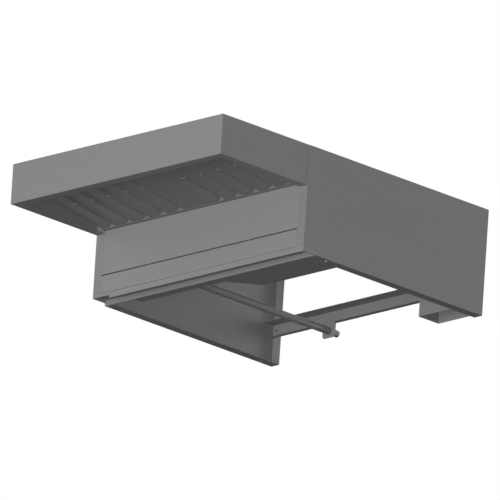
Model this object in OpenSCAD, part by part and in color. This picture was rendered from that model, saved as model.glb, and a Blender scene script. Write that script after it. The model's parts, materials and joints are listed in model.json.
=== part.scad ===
// Exhaust canopy hood that stands on the top of a combi oven.
// X runs across the hood, Y from the front to the back, Z up.
// The origin is in the middle of the footprint, level with the feet of the side panels.

/* [Overall] */
// Width over the two side panels
hood_w = 875; // [760:1:1060]
// Depth from the canopy's front face to the rear face of the body
hood_d = 1112; // [1010:1:1340]
// Height from the feet to the roof
hood_h = 328; // [300:1:400]
// Thickness of the folded sheets
sheet_t = 1.5; // [1:0.1:1.8]
// Width of the folded edges all round the panels
return_w = 32; // [26:1:39]

/* [Canopy] */
// How far the canopy stands out in front of the body
canopy_d = 362; // [300:1:440]
// Height of the canopy's front face
canopy_h = 124; // [100:1:150]
// How far each canopy side is set in from the body side
canopy_inset = 1.5; // [1:0.1:3]

/* [Front of the body] */
// Depth of the box behind the front panel
gutter_d = 51; // [42:1:62]
// Height of the slit between the front panel and the flap, above the feet
slit_z = 75; // [68:1:90]
// Opening of the slit
slit_h = 4; // [3.8:0.1:6]
// Height of the drip rail
drip_h = 18.4; // [14:0.2:24]
// Width of the low corner that is cut out of the drip rail
drip_notch_w = 68; // [40:1:90]
// Height of that corner above the feet
drip_notch_h = 8.5; // [5:0.5:12]

/* [Base and rear] */
// Depth of the narrow part of the base flange
base_narrow = 32; // [20:1:50]
// Depth of the wide part of the base flange
base_wide = 122; // [90:1:150]
// Distance right of the middle where the base flange starts to widen
base_step_x = 32; // [0:1:80]
// Run of the slanted edge between the narrow and wide parts
base_step_run = 70; // [30:1:90]
// Length of the corner relief at the left of the base flange
base_relief = 88; // [50:1:120]
// Height of the rear channel's underside
channel_z = 87; // [84:1:120]
// Height of the rear channel
channel_h = 40; // [30:1:50]
// Depth of the rear channel's top flange
channel_top = 42; // [30:1:50]
// Depth of the rear channel's bottom flange
channel_foot = 17; // [10:1:24]

/* [Drain] */
// Outer diameter of the drain pipe
pipe_d = 22; // [18:0.5:26]
// Wall of the drain pipe
pipe_t = 1.5; // [1:0.1:2]
// Distance of the drain pipe left of the middle
pipe_left = 202; // [120:1:260]
// Height of the drain pipe's centre
pipe_z = 67; // [62:1:70]
// How far the pipe stands out behind the body
spout_l = 32; // [20:1:50]
// Height of the trough's walls
trough_h = 60; // [40:1:80]

/* [Vent duct] */
// Width of the duct that takes the oven's vapour
duct_w = 145; // [110:1:180]
// Depth of that duct
duct_d = 83; // [60:1:110]
// Height of its open lower end
duct_z = 7.5; // [4:0.5:20]

/* [Filters] */
// Slope of the filters towards the back, in degrees
filter_slope = 7.5; // [5:0.5:9]
// Height of the filters' lower edge at the back, above the canopy's underside
filter_rise = 11; // [8:0.5:20]
// Thickness of a filter
filter_h = 28; // [26:1:34]
// Width of the blank panel between the filters
blank_w = 101; // [60:1:140]
// Number of air slots in a filter
slot_count = 5; // [4:1:6]
// Width of an air slot
slot_w = 8; // [6:0.5:12]
// Depth of a baffle gutter
gutter_h = 13; // [10.5:0.5:15]

/* [Fan] */
// Diameter of the fan wheel
wheel_d = 190; // [155:1:196]
// Height of the fan wheel
wheel_h = 48; // [40:1:52]
// Number of fan blades
blade_count = 28; // [20:1:36]
// Outer diameter of the duct collar
collar_d = 148; // [120:1:158]
// Height of the duct collar
collar_h = 50; // [40:1:70]

/* [Hidden] */
$fn = 48;

// Overrun of every cut
cut = 1;
// Gap between neighbouring rigid pieces
seat_gap = 0.3;
// Gap round a lifting or swinging panel
swing_gap = 0.6;

// Colours of the pieces
sheet_grey = [0.53, 0.53, 0.53];
filter_grey = [0.47, 0.47, 0.48];
dark_grey = [0.25, 0.25, 0.26];

// Places of the main faces
half_w = hood_w / 2;
half_in = half_w - return_w;
canopy_half = half_w - canopy_inset;
front_y = -(hood_d + spout_l) / 2;
body_y = front_y + canopy_d;
base_y = body_y + gutter_d;
rear_y = front_y + hood_d;
roof_z = hood_h - sheet_t;
canopy_z = hood_h - canopy_h;

// Holes that screw the hood to the oven
mount_hole_r = 3.5;
mount_end = 60;
mount_ys = [base_y + mount_end, rear_y - mount_end];

// Filters
filter_end_gap = 6;
filter_nose = 35;
filter_side_gap = 3.5;
filter_t = 1;
filter_run = canopy_d - filter_end_gap - filter_nose;
filter_l = filter_run / cos(filter_slope);
filter_w = half_in - filter_side_gap - blank_w / 2 - seat_gap;
filter_rear_z = canopy_z + filter_rise;
filter_front_y = front_y + filter_nose;
filter_front_z = filter_rear_z + filter_l * sin(filter_slope);
left_filter_x = -half_in + filter_side_gap;
right_filter_x = half_in - filter_side_gap - filter_w;
pitch = filter_w / slot_count;
gutter_half = (pitch - slot_w) / 2;
cap_lap = 16;
cap_half = slot_w / 2 + cap_lap;
cap_h = 10;
curve_parts = 12;
curve_shares = [for (i = [-curve_parts:curve_parts]) i / curve_parts];
stay_low = 6;
stay_top_gap = 1;
stay_high = gutter_h - stay_top_gap;
frame_return = 8;
weep_r = 2.5;
ledge_lap = 6;
ledge_drip = 10;
ledge_leg = 25;
ledge_t = sheet_t / cos(filter_slope);
stop_w = 12;
stop_h = 9;
stop_edge = 40;

// Hinges of the flap
hinge_share = 0.235;
hinge_x = hood_w * hinge_share;
hinge_y = body_y + sheet_t / 2;
leaf_w = 24;
leaf_h = 18;
leaf_t = 1;
leaf_set = 1;
knuckle_l = 4;
knuckle_gap = 0.15;
knuckle_r = slit_h / 2 - seat_gap;
hinge_pin_r = 0.75;
hinge_run = 0.05;
flap_hem = 5;
panel_return = 12;
drip_hem = 7;

// Drain
pipe_r = pipe_d / 2;
pipe_x = -pipe_left;
hose_step = 0.5;
hose_shoulder = 1;
trough_gap = 8;
trough_side = 4;
trough_z = pipe_z - pipe_r - sheet_t;
tab_w = 53;
tab_below = 21;
tab_corner = 10;
tab_relief = 3;

// Vent duct
duct_side = 4;
duct_x0 = half_in - duct_side - duct_w;
duct_y1 = rear_y - sheet_t;
duct_y0 = duct_y1 - duct_d;
duct_top_gap = 28;
duct_top = roof_z - duct_top_gap;
duct_bend_rise = 8;

// Air box
air_share = 0.7;
air_side = 1;
air_half = half_in - air_side;
air_y1 = base_y + (rear_y - base_y) * air_share;
air_floor = canopy_z + sheet_t;

// Outlet
collar_r = collar_d / 2;
collar_t = 1.2;
collar_flange = 16;
collar_bead = 1.5;
collar_bead_share = 0.2;
outlet_side = 14;
outlet_rise = 6;
outlet_half = collar_r + outlet_side;
outlet_y1 = air_y1 - sheet_t - seat_gap;
outlet_y0 = outlet_y1 - 2 * outlet_half;
outlet_z0 = air_floor + outlet_rise;
collar_y = (outlet_y0 + outlet_y1) / 2;
collar_screw_count = 6;
screw_r = 2;
screw_head_r = 4;
screw_head_h = 2.4;

// Fan
wheel_r = wheel_d / 2;
scroll_gap = 10;
scroll_grow = 60;
scroll_tongue = 70;
scroll_step = 10;
throat_run = 30;
scroll_r0 = wheel_r + scroll_gap;
scroll_r1 = scroll_r0 + scroll_grow;
throat_x0 = scroll_r0 * cos(scroll_tongue);
throat_l = scroll_r0 * sin(scroll_tongue) + throat_run;
fan_x = -(throat_x0 + scroll_r1) / 2;
fan_y = outlet_y0 - throat_l;
foot_h = 10;
foot_r = 9;
foot_spread = 78;
scroll_z = air_floor + foot_h;
wheel_clear = 6;
scroll_h = wheel_h + 2 * wheel_clear;
stator_r = 46;
stator_h = 4;
spindle_r = 5;
spindle_run = 0.05;
rotor_r = 40;
rotor_h = 40;
rotor_wall = 4;
rotor_hub_r = 9;
wheel_z = scroll_z + sheet_t + wheel_clear;
blade_depth = 17;
blade_t = 1;
blade_lean = 26;
blade_shares = [0:0.25:1];
wheel_disc_t = 2;
wheel_ring_in = 3;
inlet_out = 1;
inlet_r = wheel_r - blade_depth + inlet_out;
inlet_flare = 12;
inlet_t = 1.2;

// Junction box
jbox_w = 110;
jbox_d = 38;
jbox_h = 74;
jbox_t = 2;
jbox_edge = 105;
jbox_rise = 18;
jbox_x = -air_half + jbox_edge;
jbox_z = air_floor + jbox_rise;
jbox_lid_t = 2.5;
gland_r = 8;
gland_h = 14;
gland_bore = 4;
gland_nut_share = 0.45;
gland_neck_share = 0.75;

// Bolts
bolt_r = 2.5;
bolt_head_r = 4.6;
bolt_head_h = 3.5;
canopy_bolt_edge = 14;
canopy_bolt_drop = 30;
canopy_bolt_zs = [roof_z - canopy_bolt_drop, roof_z - 2 * canopy_bolt_drop];

// Block between two corners
module block(lo, hi) {
    translate(lo) cube(hi - lo);
}

// Round bar along Y between two places
module bar_y(x, z, r, y0, y1) {
    translate([x, y0, z]) rotate([-90, 0, 0]) cylinder(r = r, h = y1 - y0);
}

// Children on the right and mirrored on the left
module both_sides() {
    children();
    mirror([1, 0, 0]) children();
}

// An outline in Y and Z, drawn out along X to both sides of the middle
module along_x(half) {
    rotate([90, 0, 90]) translate([0, 0, -half]) linear_extrude(2 * half) children();
}

// Places children in the sloping frame of a filter: X across, Y down the slope, Z out of the top
module on_slope(x) {
    translate([x, filter_front_y, filter_front_z]) rotate([-filter_slope, 0, 0]) children();
}

// Height of the plane just under the filters at a place along Y
function slope_z(y) = filter_front_z - (y - filter_front_y) * tan(filter_slope) - seat_gap;

// Height of a gutter's underside at a share of its half width: it rises with the cube
function gutter_rise(share) = gutter_h * pow(abs(share), 3);

// Half width of the space between two gutters at a height above their undersides
function slot_half(z) = pitch / 2 - gutter_half * pow(z / gutter_h, 1 / 3) - seat_gap;

function reversed(list) = [for (n = [len(list) - 1:-1:0]) list[n]];

// Side panel on the right, folded inwards along all four edges
module side_panel() {
    color(sheet_grey) difference() {
        block([half_in, body_y, 0], [half_w, rear_y, roof_z]);
        block([half_in - cut, body_y + sheet_t, sheet_t],
              [half_w - sheet_t, rear_y - sheet_t, roof_z - sheet_t]);
        block([half_in - cut, body_y - cut, -cut], [half_w + cut, base_y, drip_h]);
        block([half_in - cut, body_y - cut, -cut], [half_w - sheet_t, base_y + sheet_t, drip_h]);
        for (y = mount_ys)
            translate([half_w - return_w / 2, y, -cut])
                cylinder(r = mount_hole_r, h = sheet_t + 2 * cut);
        for (z = canopy_bolt_zs)
            bar_y(half_w - canopy_bolt_edge, z, bolt_r + seat_gap, body_y - cut,
                  body_y + sheet_t + cut);
        bar_y(half_w - return_w / 2, channel_z + channel_h / 2, bolt_r + seat_gap,
              rear_y - sheet_t - cut, rear_y + cut);
    }
}

module side_panel_left() {
    mirror([1, 0, 0]) side_panel();
}

module side_panel_right() {
    side_panel();
}

// Roof of the body, with the hole under the duct collar
module body_roof() {
    color(sheet_grey) difference() {
        block([-half_w, body_y, roof_z], [half_w, rear_y, hood_h]);
        translate([0, collar_y, roof_z - cut])
            cylinder(r = collar_r - collar_t, h = sheet_t + 2 * cut);
        collar_screw_places() translate([0, 0, roof_z - cut])
            cylinder(r = screw_r + seat_gap, h = sheet_t + 2 * cut);
    }
}

module canopy_roof() {
    color(sheet_grey)
        block([-canopy_half, front_y, roof_z], [canopy_half, body_y, hood_h]);
}

// Front of the canopy, with its lower edge folded back and mitred at both ends
module canopy_fascia() {
    lip_y = front_y + return_w;
    lip_x = canopy_half - return_w;
    corner_x = canopy_half - sheet_t;
    corner_y = front_y + sheet_t;
    color(sheet_grey) {
        block([-canopy_half, front_y, canopy_z], [canopy_half, corner_y, roof_z]);
        translate([0, 0, canopy_z]) linear_extrude(sheet_t)
            polygon([[-canopy_half, front_y], [canopy_half, front_y], [canopy_half, corner_y],
                [corner_x, corner_y], [lip_x, lip_y], [-lip_x, lip_y], [-corner_x, corner_y],
                [-canopy_half, corner_y]]);
    }
}

// Right side of the canopy, with a folded lower edge and a flange that bolts to the body
module canopy_side() {
    lip_y = front_y + return_w;
    lip_x = canopy_half - return_w;
    corner_x = canopy_half - sheet_t;
    corner_y = front_y + sheet_t;
    color(sheet_grey) difference() {
        union() {
            block([corner_x, corner_y, canopy_z], [canopy_half, body_y, roof_z]);
            translate([0, 0, canopy_z]) linear_extrude(sheet_t)
                polygon([[corner_x, corner_y], [canopy_half, corner_y], [canopy_half, body_y],
                    [lip_x, body_y], [lip_x, lip_y]]);
            block([half_in + seat_gap, body_y - sheet_t, canopy_z + sheet_t],
                  [canopy_half - sheet_t / 2, body_y, roof_z]);
        }
        for (z = canopy_bolt_zs)
            bar_y(half_w - canopy_bolt_edge, z, bolt_r + seat_gap,
                  body_y - sheet_t - cut, body_y + cut);
    }
}

module canopy_side_left() {
    mirror([1, 0, 0]) canopy_side();
}

module canopy_side_right() {
    canopy_side();
}

// Bolts that hold the canopy to the body's front edges
module canopy_bolts() {
    bolt_x = half_w - canopy_bolt_edge;
    head_y = body_y - sheet_t - bolt_head_h;
    color(dark_grey) both_sides() for (z = canopy_bolt_zs) {
        bar_y(bolt_x, z, bolt_r, head_y + bolt_head_h / 2, body_y + sheet_t + bolt_head_h);
        translate([bolt_x, head_y, z]) rotate([-90, 0, 0])
            cylinder(r = bolt_head_r, h = bolt_head_h, $fn = 6);
    }
}

// Upper front panel between the side panels, with a fold behind each end
module front_panel() {
    top_z = slope_z(body_y + sheet_t) - ledge_t;
    low_z = slit_z + slit_h / 2;
    edge = half_in - seat_gap;
    color(sheet_grey) {
        block([-edge, body_y, low_z], [edge, body_y + sheet_t, top_z]);
        both_sides() block([edge - sheet_t, body_y, low_z],
                           [edge, body_y + panel_return, top_z - panel_return]);
    }
}

// Flap below the slit, hinged at its top edge, with a short hem at the bottom
module front_flap() {
    edge = half_in - swing_gap;
    low_z = drip_h + swing_gap;
    color(sheet_grey) {
        block([-edge, body_y, low_z], [edge, body_y + sheet_t, slit_z - slit_h / 2]);
        block([-edge, body_y, low_z], [edge, body_y + flap_hem, low_z + sheet_t]);
    }
}

// One half of a hinge, placed from its axis: a leaf behind the panel, an arm and a bored knuckle
module hinge_half() {
    leaf_0 = slit_h / 2 + leaf_set;
    back = sheet_t / 2;
    difference() {
        union() {
            block([-leaf_w / 2, back, leaf_0], [leaf_w / 2, back + leaf_t, leaf_0 + leaf_h]);
            block([knuckle_gap, back, 0], [knuckle_gap + knuckle_l, back + leaf_t, leaf_0 + leaf_t]);
            translate([knuckle_gap, 0, 0]) rotate([0, 90, 0])
                cylinder(r = knuckle_r, h = knuckle_l, $fn = 32);
        }
        translate([-leaf_w, 0, 0]) rotate([0, 90, 0])
            cylinder(r = hinge_pin_r + hinge_run, h = 2 * leaf_w, $fn = 32);
    }
}

module at_hinges() {
    for (side = [-1, 1]) translate([side * hinge_x, hinge_y, slit_z]) children();
}

module hinge_fixed_leaves() {
    color(dark_grey) at_hinges() hinge_half();
}

// The flap's halves are the fixed ones turned over
module hinge_flap_leaves() {
    color(dark_grey) at_hinges() mirror([1, 0, 0]) mirror([0, 0, 1]) hinge_half();
}

module hinge_pins() {
    pin_l = 2 * (knuckle_l + knuckle_gap + seat_gap);
    color("silver") at_hinges() translate([-pin_l / 2, 0, 0]) rotate([0, 90, 0])
        cylinder(r = hinge_pin_r, h = pin_l, $fn = 32);
}

// Rail under the flap: a shallow tray turned down, with a front hem and one low corner cut out
module drip_rail() {
    color(sheet_grey) {
        difference() {
            block([-half_w, body_y, 0], [half_w, base_y, drip_h]);
            block([-half_w + sheet_t, body_y + sheet_t, -cut],
                  [half_w - sheet_t, base_y + cut, drip_h - sheet_t]);
            block([-half_w - cut, body_y - cut, -cut],
                  [-half_w + drip_notch_w, base_y + cut, drip_notch_h]);
        }
        block([-half_w + drip_notch_w, body_y, 0],
              [half_w - sheet_t / 2, body_y + drip_hem, sheet_t]);
    }
}

// Panel behind the front box, with the base flange that rests on the oven
module inner_panel() {
    flange_x0 = -half_in + base_relief;
    color(sheet_grey) difference() {
        union() {
            block([-half_w + sheet_t, base_y, 0], [half_w - sheet_t, base_y + sheet_t, canopy_z]);
            linear_extrude(sheet_t)
                polygon([[flange_x0, base_y], [half_in, base_y], [half_in, base_y + base_wide],
                    [base_step_x + base_step_run, base_y + base_wide],
                    [base_step_x, base_y + base_narrow], [flange_x0, base_y + base_narrow]]);
        }
        bar_y(pipe_x, pipe_z, pipe_r + seat_gap, base_y - cut, base_y + sheet_t + cut);
    }
}

// Channel across the back, open to the front, with a tab that carries the drain pipe
module rear_channel() {
    x0 = -half_w + sheet_t;
    x1 = duct_x0 - seat_gap;
    y1 = rear_y - sheet_t;
    y0 = y1 - sheet_t;
    top_z = channel_z + channel_h;
    tab_z = pipe_z - tab_below;
    tab_half = tab_w / 2;
    color(sheet_grey) difference() {
        union() {
            block([x0, y0, channel_z], [x1, y1, top_z]);
            block([x0, y1 - channel_top, top_z - sheet_t], [x1, y1, top_z]);
            difference() {
                block([x0, y1 - channel_foot, channel_z], [x1, y1, channel_z + sheet_t]);
                block([pipe_x - tab_half - tab_relief, y1 - channel_foot - cut, channel_z - cut],
                      [pipe_x + tab_half + tab_relief, y0, channel_z + sheet_t + cut]);
            }
            block([pipe_x - tab_half, y0, tab_z + tab_corner],
                  [pipe_x + tab_half, y1, channel_z + sheet_t]);
            block([pipe_x - tab_half + tab_corner, y0, tab_z],
                  [pipe_x + tab_half - tab_corner, y1, tab_z + 2 * tab_corner]);
            for (side = [-1, 1])
                bar_y(pipe_x + side * (tab_half - tab_corner), tab_z + tab_corner, tab_corner,
                      y0, y1);
        }
        bar_y(pipe_x, pipe_z, pipe_r + seat_gap, y0 - cut, y1 + cut);
        bar_y(-half_w + return_w / 2, channel_z + channel_h / 2, bolt_r + seat_gap,
              y0 - cut, y1 + cut);
    }
}

// Bolt that holds the channel to the rear fold of the left side panel
module channel_bolts() {
    head_y = rear_y - 2 * sheet_t - bolt_head_h;
    bolt_x = -half_w + return_w / 2;
    bolt_z = channel_z + channel_h / 2;
    color(dark_grey) {
        bar_y(bolt_x, bolt_z, bolt_r, head_y + bolt_head_h / 2, rear_y + bolt_head_h);
        translate([bolt_x, head_y, bolt_z]) rotate([-90, 0, 0])
            cylinder(r = bolt_head_r, h = bolt_head_h, $fn = 6);
    }
}

// Straight drain pipe from the trough to behind the body, turned down there for a hose
module drain_pipe() {
    seat_y = rear_y + hose_shoulder;
    color(sheet_grey) difference() {
        union() {
            bar_y(pipe_x, pipe_z, pipe_r, base_y - sheet_t, seat_y);
            bar_y(pipe_x, pipe_z, pipe_r - hose_step, seat_y - hose_shoulder, rear_y + spout_l);
        }
        bar_y(pipe_x, pipe_z, pipe_r - pipe_t, base_y - sheet_t - cut, rear_y + spout_l + cut);
    }
}

// Trough behind the flap that collects what runs off the filters
module condensate_trough() {
    edge = half_in - trough_side;
    y0 = body_y + trough_gap;
    top_z = trough_z + trough_h;
    color(filter_grey) difference() {
        block([-edge, y0, trough_z], [edge, base_y, top_z]);
        block([-edge + sheet_t, y0 + sheet_t, trough_z + sheet_t],
              [edge - sheet_t, base_y - sheet_t, top_z + cut]);
        bar_y(pipe_x, pipe_z, pipe_r + seat_gap, base_y - sheet_t - cut, base_y + cut);
    }
}

// Duct for the oven's vapour: open below, with a bend forward into the air box
module vent_duct() {
    x1 = duct_x0 + duct_w;
    bend_z = air_floor + duct_bend_rise;
    color(sheet_grey) difference() {
        union() {
            block([duct_x0, duct_y0, duct_z], [x1, duct_y1, duct_top]);
            block([duct_x0, air_y1, bend_z], [x1, duct_y0 + sheet_t, duct_top]);
        }
        block([duct_x0 + sheet_t, duct_y0 + sheet_t, duct_z - cut],
              [x1 - sheet_t, duct_y1 - sheet_t, duct_top - sheet_t]);
        block([duct_x0 + sheet_t, air_y1 - cut, bend_z + sheet_t],
              [x1 - sheet_t, duct_y0 + 2 * sheet_t, duct_top - sheet_t]);
    }
}

// Sloping ledge behind the fascia that carries the filters' front ends
module filter_rail_front() {
    y0 = front_y + sheet_t;
    y1 = filter_front_y + ledge_lap;
    color(filter_grey) along_x(half_in)
        polygon([[y0, slope_z(y0)], [y1, slope_z(y1)], [y1, slope_z(y1) - ledge_t],
            [y0 + sheet_t, slope_z(y0 + sheet_t) - ledge_t], [y0 + sheet_t, slope_z(y0) - ledge_leg],
            [y0, slope_z(y0) - ledge_leg]]);
}

// Sloping ledge on the front panel that carries the rear ends, with upright stops
module filter_rail_rear() {
    y0 = body_y - filter_end_gap - ledge_lap;
    y1 = body_y + ledge_drip;
    stop_y = body_y - filter_end_gap + seat_gap + sheet_t;
    inner = blank_w / 2;
    outer = half_in - filter_side_gap;
    color(filter_grey) {
        along_x(half_in - seat_gap)
            polygon([[y0, slope_z(y0)], [y1, slope_z(y1)], [y1, slope_z(y1) - ledge_t],
                [y0, slope_z(y0) - ledge_t]]);
        both_sides() for (x = [inner + stop_edge, (inner + outer) / 2, outer - stop_edge])
            block([x - stop_w / 2, stop_y, slope_z(stop_y) - ledge_t / 2],
                  [x + stop_w / 2, stop_y + sheet_t, slope_z(stop_y) + stop_h]);
    }
}

// Blank panel between the filters, folded up along both sides
module filter_blank() {
    half = blank_w / 2;
    color(filter_grey) on_slope(0) difference() {
        block([-half, 0, 0], [half, filter_l, panel_return]);
        block([-half + sheet_t, -cut, sheet_t], [half - sheet_t, filter_l + cut, panel_return + cut]);
    }
}

// Frame of a filter: four walls, folded in along the top, with weep holes at the back
module filter_frame() {
    color(filter_grey) difference() {
        block([0, 0, 0], [filter_w, filter_l, filter_h]);
        block([filter_t, filter_t, -cut], [filter_w - filter_t, filter_l - filter_t, filter_h - filter_t]);
        block([frame_return, frame_return, 0],
              [filter_w - frame_return, filter_l - frame_return, filter_h + cut]);
        for (i = [1:slot_count - 1])
            bar_y(i * pitch, filter_t + weep_r + seat_gap, weep_r, filter_l - filter_t - cut,
                  filter_l + cut);
    }
}

// Lower baffles: gutters that open upwards, with a half gutter along each side of the frame
module filter_gutters() {
    run = filter_l - 2 * filter_t;
    color(filter_grey) for (i = [0:slot_count]) {
        low = i == 0 ? 0 : -1;
        high = i == slot_count ? 0 : 1;
        wall = i == 0 ? filter_t : i == slot_count ? -filter_t : 0;
        kept = [for (s = curve_shares) if (s >= low && s <= high) s];
        under = [for (s = kept) [i * pitch + (s == 0 ? wall : s * gutter_half), gutter_rise(s)]];
        over = [for (p = reversed(under)) p + [0, filter_t]];
        translate([0, filter_t + run, 0]) rotate([90, 0, 0]) linear_extrude(run)
            polygon(concat(under, over));
    }
}

// Upper baffles: inverted gutters above the air slots
module filter_caps() {
    run = filter_l - 2 * filter_t;
    top_z = filter_h - filter_t - seat_gap;
    color(filter_grey) for (i = [0:slot_count - 1]) {
        over = [for (s = curve_shares)
            [(i + 1 / 2) * pitch + s * cap_half, top_z - cap_h * pow(abs(s), 3)]];
        under = [for (p = reversed(over)) p - [0, filter_t]];
        translate([0, filter_t + run, 0]) rotate([90, 0, 0]) linear_extrude(run)
            polygon(concat(over, under));
    }
}

// Stays between neighbouring gutters, half way along the filter
module filter_stays() {
    steps = 4;
    heights = [for (i = [0:steps]) stay_low + (stay_high - stay_low) * i / steps];
    edge = [for (z = heights) [slot_half(z), z]];
    color(filter_grey) for (i = [0:slot_count - 1])
        translate([(i + 1 / 2) * pitch, (filter_l + sheet_t) / 2, 0]) rotate([90, 0, 0])
            linear_extrude(sheet_t)
                polygon(concat(edge, [for (p = reversed(edge)) [-p[0], p[1]]]));
}

module filter_left_frame() {
    on_slope(left_filter_x) filter_frame();
}

module filter_left_gutters() {
    on_slope(left_filter_x) filter_gutters();
}

module filter_left_caps() {
    on_slope(left_filter_x) filter_caps();
}

module filter_left_stays() {
    on_slope(left_filter_x) filter_stays();
}

module filter_right_frame() {
    on_slope(right_filter_x) filter_frame();
}

module filter_right_gutters() {
    on_slope(right_filter_x) filter_gutters();
}

module filter_right_caps() {
    on_slope(right_filter_x) filter_caps();
}

module filter_right_stays() {
    on_slope(right_filter_x) filter_stays();
}

// Air box under the roof: floor, two sides and a back, open to the canopy
module air_box() {
    color(sheet_grey) difference() {
        block([-air_half, base_y, canopy_z], [air_half, air_y1, roof_z]);
        block([-air_half + sheet_t, base_y - cut, air_floor],
              [air_half - sheet_t, air_y1 - sheet_t, roof_z + cut]);
        block([duct_x0 + sheet_t, air_y1 - sheet_t - cut, air_floor + duct_bend_rise + sheet_t],
              [duct_x0 + duct_w - sheet_t, air_y1 + cut, duct_top - sheet_t]);
    }
}

// Spiral outline of the fan housing: its radius grows evenly round the wheel up to the throat
function scroll_radius(a) =
    scroll_r0 + scroll_grow * (a - scroll_tongue) / (360 - scroll_tongue);
function scroll_outline(wall) = concat(
    [[throat_x0 - wall, sqrt(pow(scroll_r0 + wall, 2) - pow(throat_x0 - wall, 2))]],
    [for (a = [scroll_tongue + scroll_step:scroll_step:360])
        (scroll_radius(a) + wall) * [cos(a), sin(a)]],
    [[scroll_r1 + wall, throat_l], [throat_x0 - wall, throat_l]]);

module fan_scroll() {
    color(filter_grey) translate([fan_x, fan_y, scroll_z]) difference() {
        linear_extrude(scroll_h + sheet_t) polygon(scroll_outline(sheet_t));
        translate([0, 0, sheet_t]) linear_extrude(scroll_h + cut) polygon(scroll_outline(0));
        block([throat_x0, throat_l - cut, sheet_t],
              [scroll_r1, throat_l + cut, scroll_h + sheet_t + cut]);
        translate([0, 0, -cut]) cylinder(r = spindle_r + sheet_t, h = sheet_t + 2 * cut);
    }
}

// Rubber feet between the fan housing and the air box
module fan_feet() {
    color(dark_grey) for (a = [45:90:315])
        translate([fan_x + foot_spread * cos(a), fan_y + foot_spread * sin(a), air_floor])
            cylinder(r = foot_r, h = foot_h);
}

// Lid of the fan housing, with the inlet hole
module fan_lid() {
    color(filter_grey) translate([fan_x, fan_y, scroll_z + sheet_t + scroll_h]) difference() {
        linear_extrude(sheet_t) polygon(scroll_outline(sheet_t));
        translate([0, 0, -cut]) cylinder(r = inlet_r + seat_gap, h = sheet_t + 2 * cut, $fn = 72);
    }
}

// Flared ring that leads the air into the wheel
module fan_inlet_ring() {
    lip = sheet_t + wheel_clear / 2;
    color(dark_grey) translate([fan_x, fan_y, scroll_z + 2 * sheet_t + scroll_h])
        rotate_extrude($fn = 72)
            polygon([[inlet_r - inlet_t, -lip], [inlet_r, -lip], [inlet_r, 0],
                [inlet_r + inlet_flare, 0], [inlet_r + inlet_flare, inlet_t],
                [inlet_r + inlet_t, 2 * inlet_t], [inlet_r - inlet_t, inlet_t]]);
}

// Fixed part of the motor: a flange on the housing floor and the spindle
module fan_stator() {
    color(dark_grey) translate([fan_x, fan_y, scroll_z + sheet_t]) {
        cylinder(r = stator_r, h = stator_h);
        cylinder(r = spindle_r, h = stator_h + rotor_h);
    }
}

// Turning cup of the motor, with a hub that runs on the spindle
module fan_rotor() {
    color(dark_grey) translate([fan_x, fan_y, wheel_z]) difference() {
        union() {
            difference() {
                cylinder(r = rotor_r, h = rotor_h);
                translate([0, 0, -cut])
                    cylinder(r = rotor_r - rotor_wall, h = rotor_h - rotor_wall + cut);
            }
            cylinder(r = rotor_hub_r, h = rotor_h - rotor_wall / 2);
        }
        translate([0, 0, -cut]) cylinder(r = spindle_r + spindle_run, h = rotor_h + 2 * cut);
    }
}

// One side of a blade, from its heel to its tip, leaning forward with the square of the share
function blade_side(offset) = [for (s = blade_shares)
    let (r = wheel_r - blade_depth * (1 - s), a = blade_lean * s * s)
    [r * cos(a) - offset * sin(a), r * sin(a) + offset * cos(a)]];

// Fan wheel: a disc on the rotor, forward leaning blades and a ring on top
module fan_wheel() {
    color("silver") translate([fan_x, fan_y, wheel_z]) {
        difference() {
            cylinder(r = wheel_r, h = wheel_disc_t, $fn = 72);
            translate([0, 0, -cut])
                cylinder(r = rotor_r + seat_gap, h = wheel_disc_t + 2 * cut);
        }
        for (i = [0:blade_count - 1]) rotate([0, 0, i * 360 / blade_count])
            linear_extrude(wheel_h - wheel_disc_t / 2)
                polygon(concat(blade_side(-blade_t / 2), reversed(blade_side(blade_t / 2))));
        translate([0, 0, wheel_h - wheel_disc_t]) difference() {
            cylinder(r = wheel_r, h = wheel_disc_t, $fn = 72);
            translate([0, 0, -cut])
                cylinder(r = wheel_r - blade_depth + wheel_ring_in, h = wheel_disc_t + 2 * cut,
                         $fn = 72);
        }
    }
}

// Box between the fan's throat and the collar, open to the roof
module outlet_box() {
    color(filter_grey) difference() {
        block([-outlet_half, outlet_y0, outlet_z0], [outlet_half, outlet_y1, roof_z]);
        block([-outlet_half + sheet_t, outlet_y0 + sheet_t, outlet_z0 + sheet_t],
              [outlet_half - sheet_t, outlet_y1 - sheet_t, roof_z + cut]);
        block([fan_x + throat_x0, outlet_y0 - cut, scroll_z + sheet_t],
              [fan_x + scroll_r1, outlet_y0 + sheet_t + cut, scroll_z + sheet_t + scroll_h]);
    }
}

// Children at each screw of the collar's flange
module collar_screw_places() {
    ring = collar_r + collar_flange / 2;
    for (i = [0:collar_screw_count - 1])
        translate([ring * cos(i * 360 / collar_screw_count),
                   collar_y + ring * sin(i * 360 / collar_screw_count), 0]) children();
}

// Round collar that the exhaust duct slides over
module duct_collar() {
    bead_z = collar_h * collar_bead_share;
    color(sheet_grey) difference() {
        translate([0, collar_y, hood_h]) rotate_extrude($fn = 96)
            polygon([[collar_r - collar_t, 0], [collar_r + collar_flange, 0],
                [collar_r + collar_flange, sheet_t], [collar_r, sheet_t],
                [collar_r, bead_z - collar_bead], [collar_r + collar_bead, bead_z],
                [collar_r, bead_z + collar_bead], [collar_r, collar_h],
                [collar_r - collar_t, collar_h]]);
        collar_screw_places() translate([0, 0, hood_h - cut])
            cylinder(r = screw_r + seat_gap, h = sheet_t + 2 * cut);
    }
}

module collar_screws() {
    color("silver") collar_screw_places() {
        translate([0, 0, roof_z - sheet_t]) cylinder(r = screw_r, h = 3 * sheet_t + screw_head_h / 2);
        translate([0, 0, hood_h + sheet_t]) cylinder(r = screw_head_r, h = screw_head_h);
    }
}

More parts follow.
